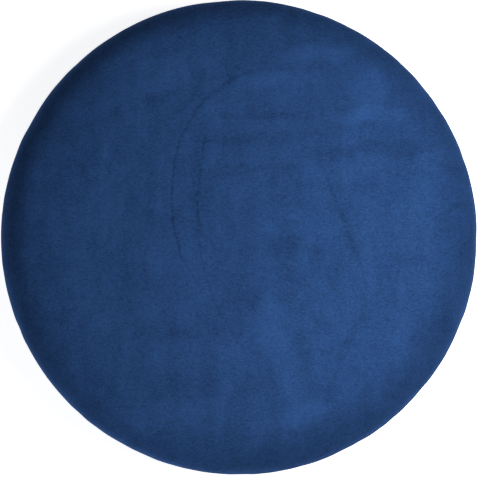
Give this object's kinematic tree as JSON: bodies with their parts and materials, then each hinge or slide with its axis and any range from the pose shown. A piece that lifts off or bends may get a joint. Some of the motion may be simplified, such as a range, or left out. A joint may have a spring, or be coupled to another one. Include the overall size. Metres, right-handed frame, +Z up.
{
  "type": "seat cushion",
  "caption": "Round seat cushion with a crowned top and a rolled edge, in a velvet cover that unzips from a wadded foam pad.",
  "frame": {"origin": "centre of the base, on the surface that the cushion rests on", "axes": "+Z up through the crown, the zip centred on +Y at the back, the closed zip's slider near the +X end"},
  "size_m": [0.4, 0.4, 0.08],
  "materials": {
    "velvet": "matte",
    "antislip_cloth": "matte",
    "sewing_thread": "matte",
    "zip_tape": "matte",
    "zip_coil": "satin",
    "zip_metal": "satin",
    "label_cloth": "satin",
    "liner_cloth": "matte",
    "polyester_wadding": "matte",
    "soft_foam": "matte",
    "firm_foam": "matte"
  },
  "bodies": {
    "cushion": {"velvet_top_panel": "velvet", "velvet_front_band": "velvet", "velvet_zip_strip_upper": "velvet", "velvet_zip_strip_lower": "velvet", "base_panel": "antislip_cloth", "top_seam_thread": "sewing_thread", "base_seam_thread": "sewing_thread", "zip_stitching_upper": "sewing_thread", "zip_stitching_lower": "sewing_thread", "zip_tape_upper": "zip_tape", "zip_tape_lower": "zip_tape", "zip_coil_upper": "zip_coil", "zip_coil_lower": "zip_coil", "zip_top_stops": "zip_metal", "zip_bottom_stop": "zip_metal", "care_label": "label_cloth", "liner_cap": "liner_cloth", "liner_base": "liner_cloth", "top_wadding": "polyester_wadding", "side_wadding": "polyester_wadding", "base_wadding": "polyester_wadding", "soft_foam_layer": "soft_foam", "firm_foam_core": "firm_foam"},
    "slider": {"zip_slider": "zip_metal"},
    "pull": {"zip_pull_tab": "zip_metal"}
  },
  "joints": [
    {"name": "zip_slide", "type": "hinge", "parent": "cushion", "child": "slider", "pos_m": [0, 0, 0.0165], "axis": [0, 0, 1], "range_deg": [0, 155]},
    {"name": "pull_flip", "type": "hinge", "parent": "slider", "child": "pull", "pos_m": [0.19391, 0.04197, 0.0165], "axis": [0, 0, -1], "range_deg": [0, 180]}
  ]
}
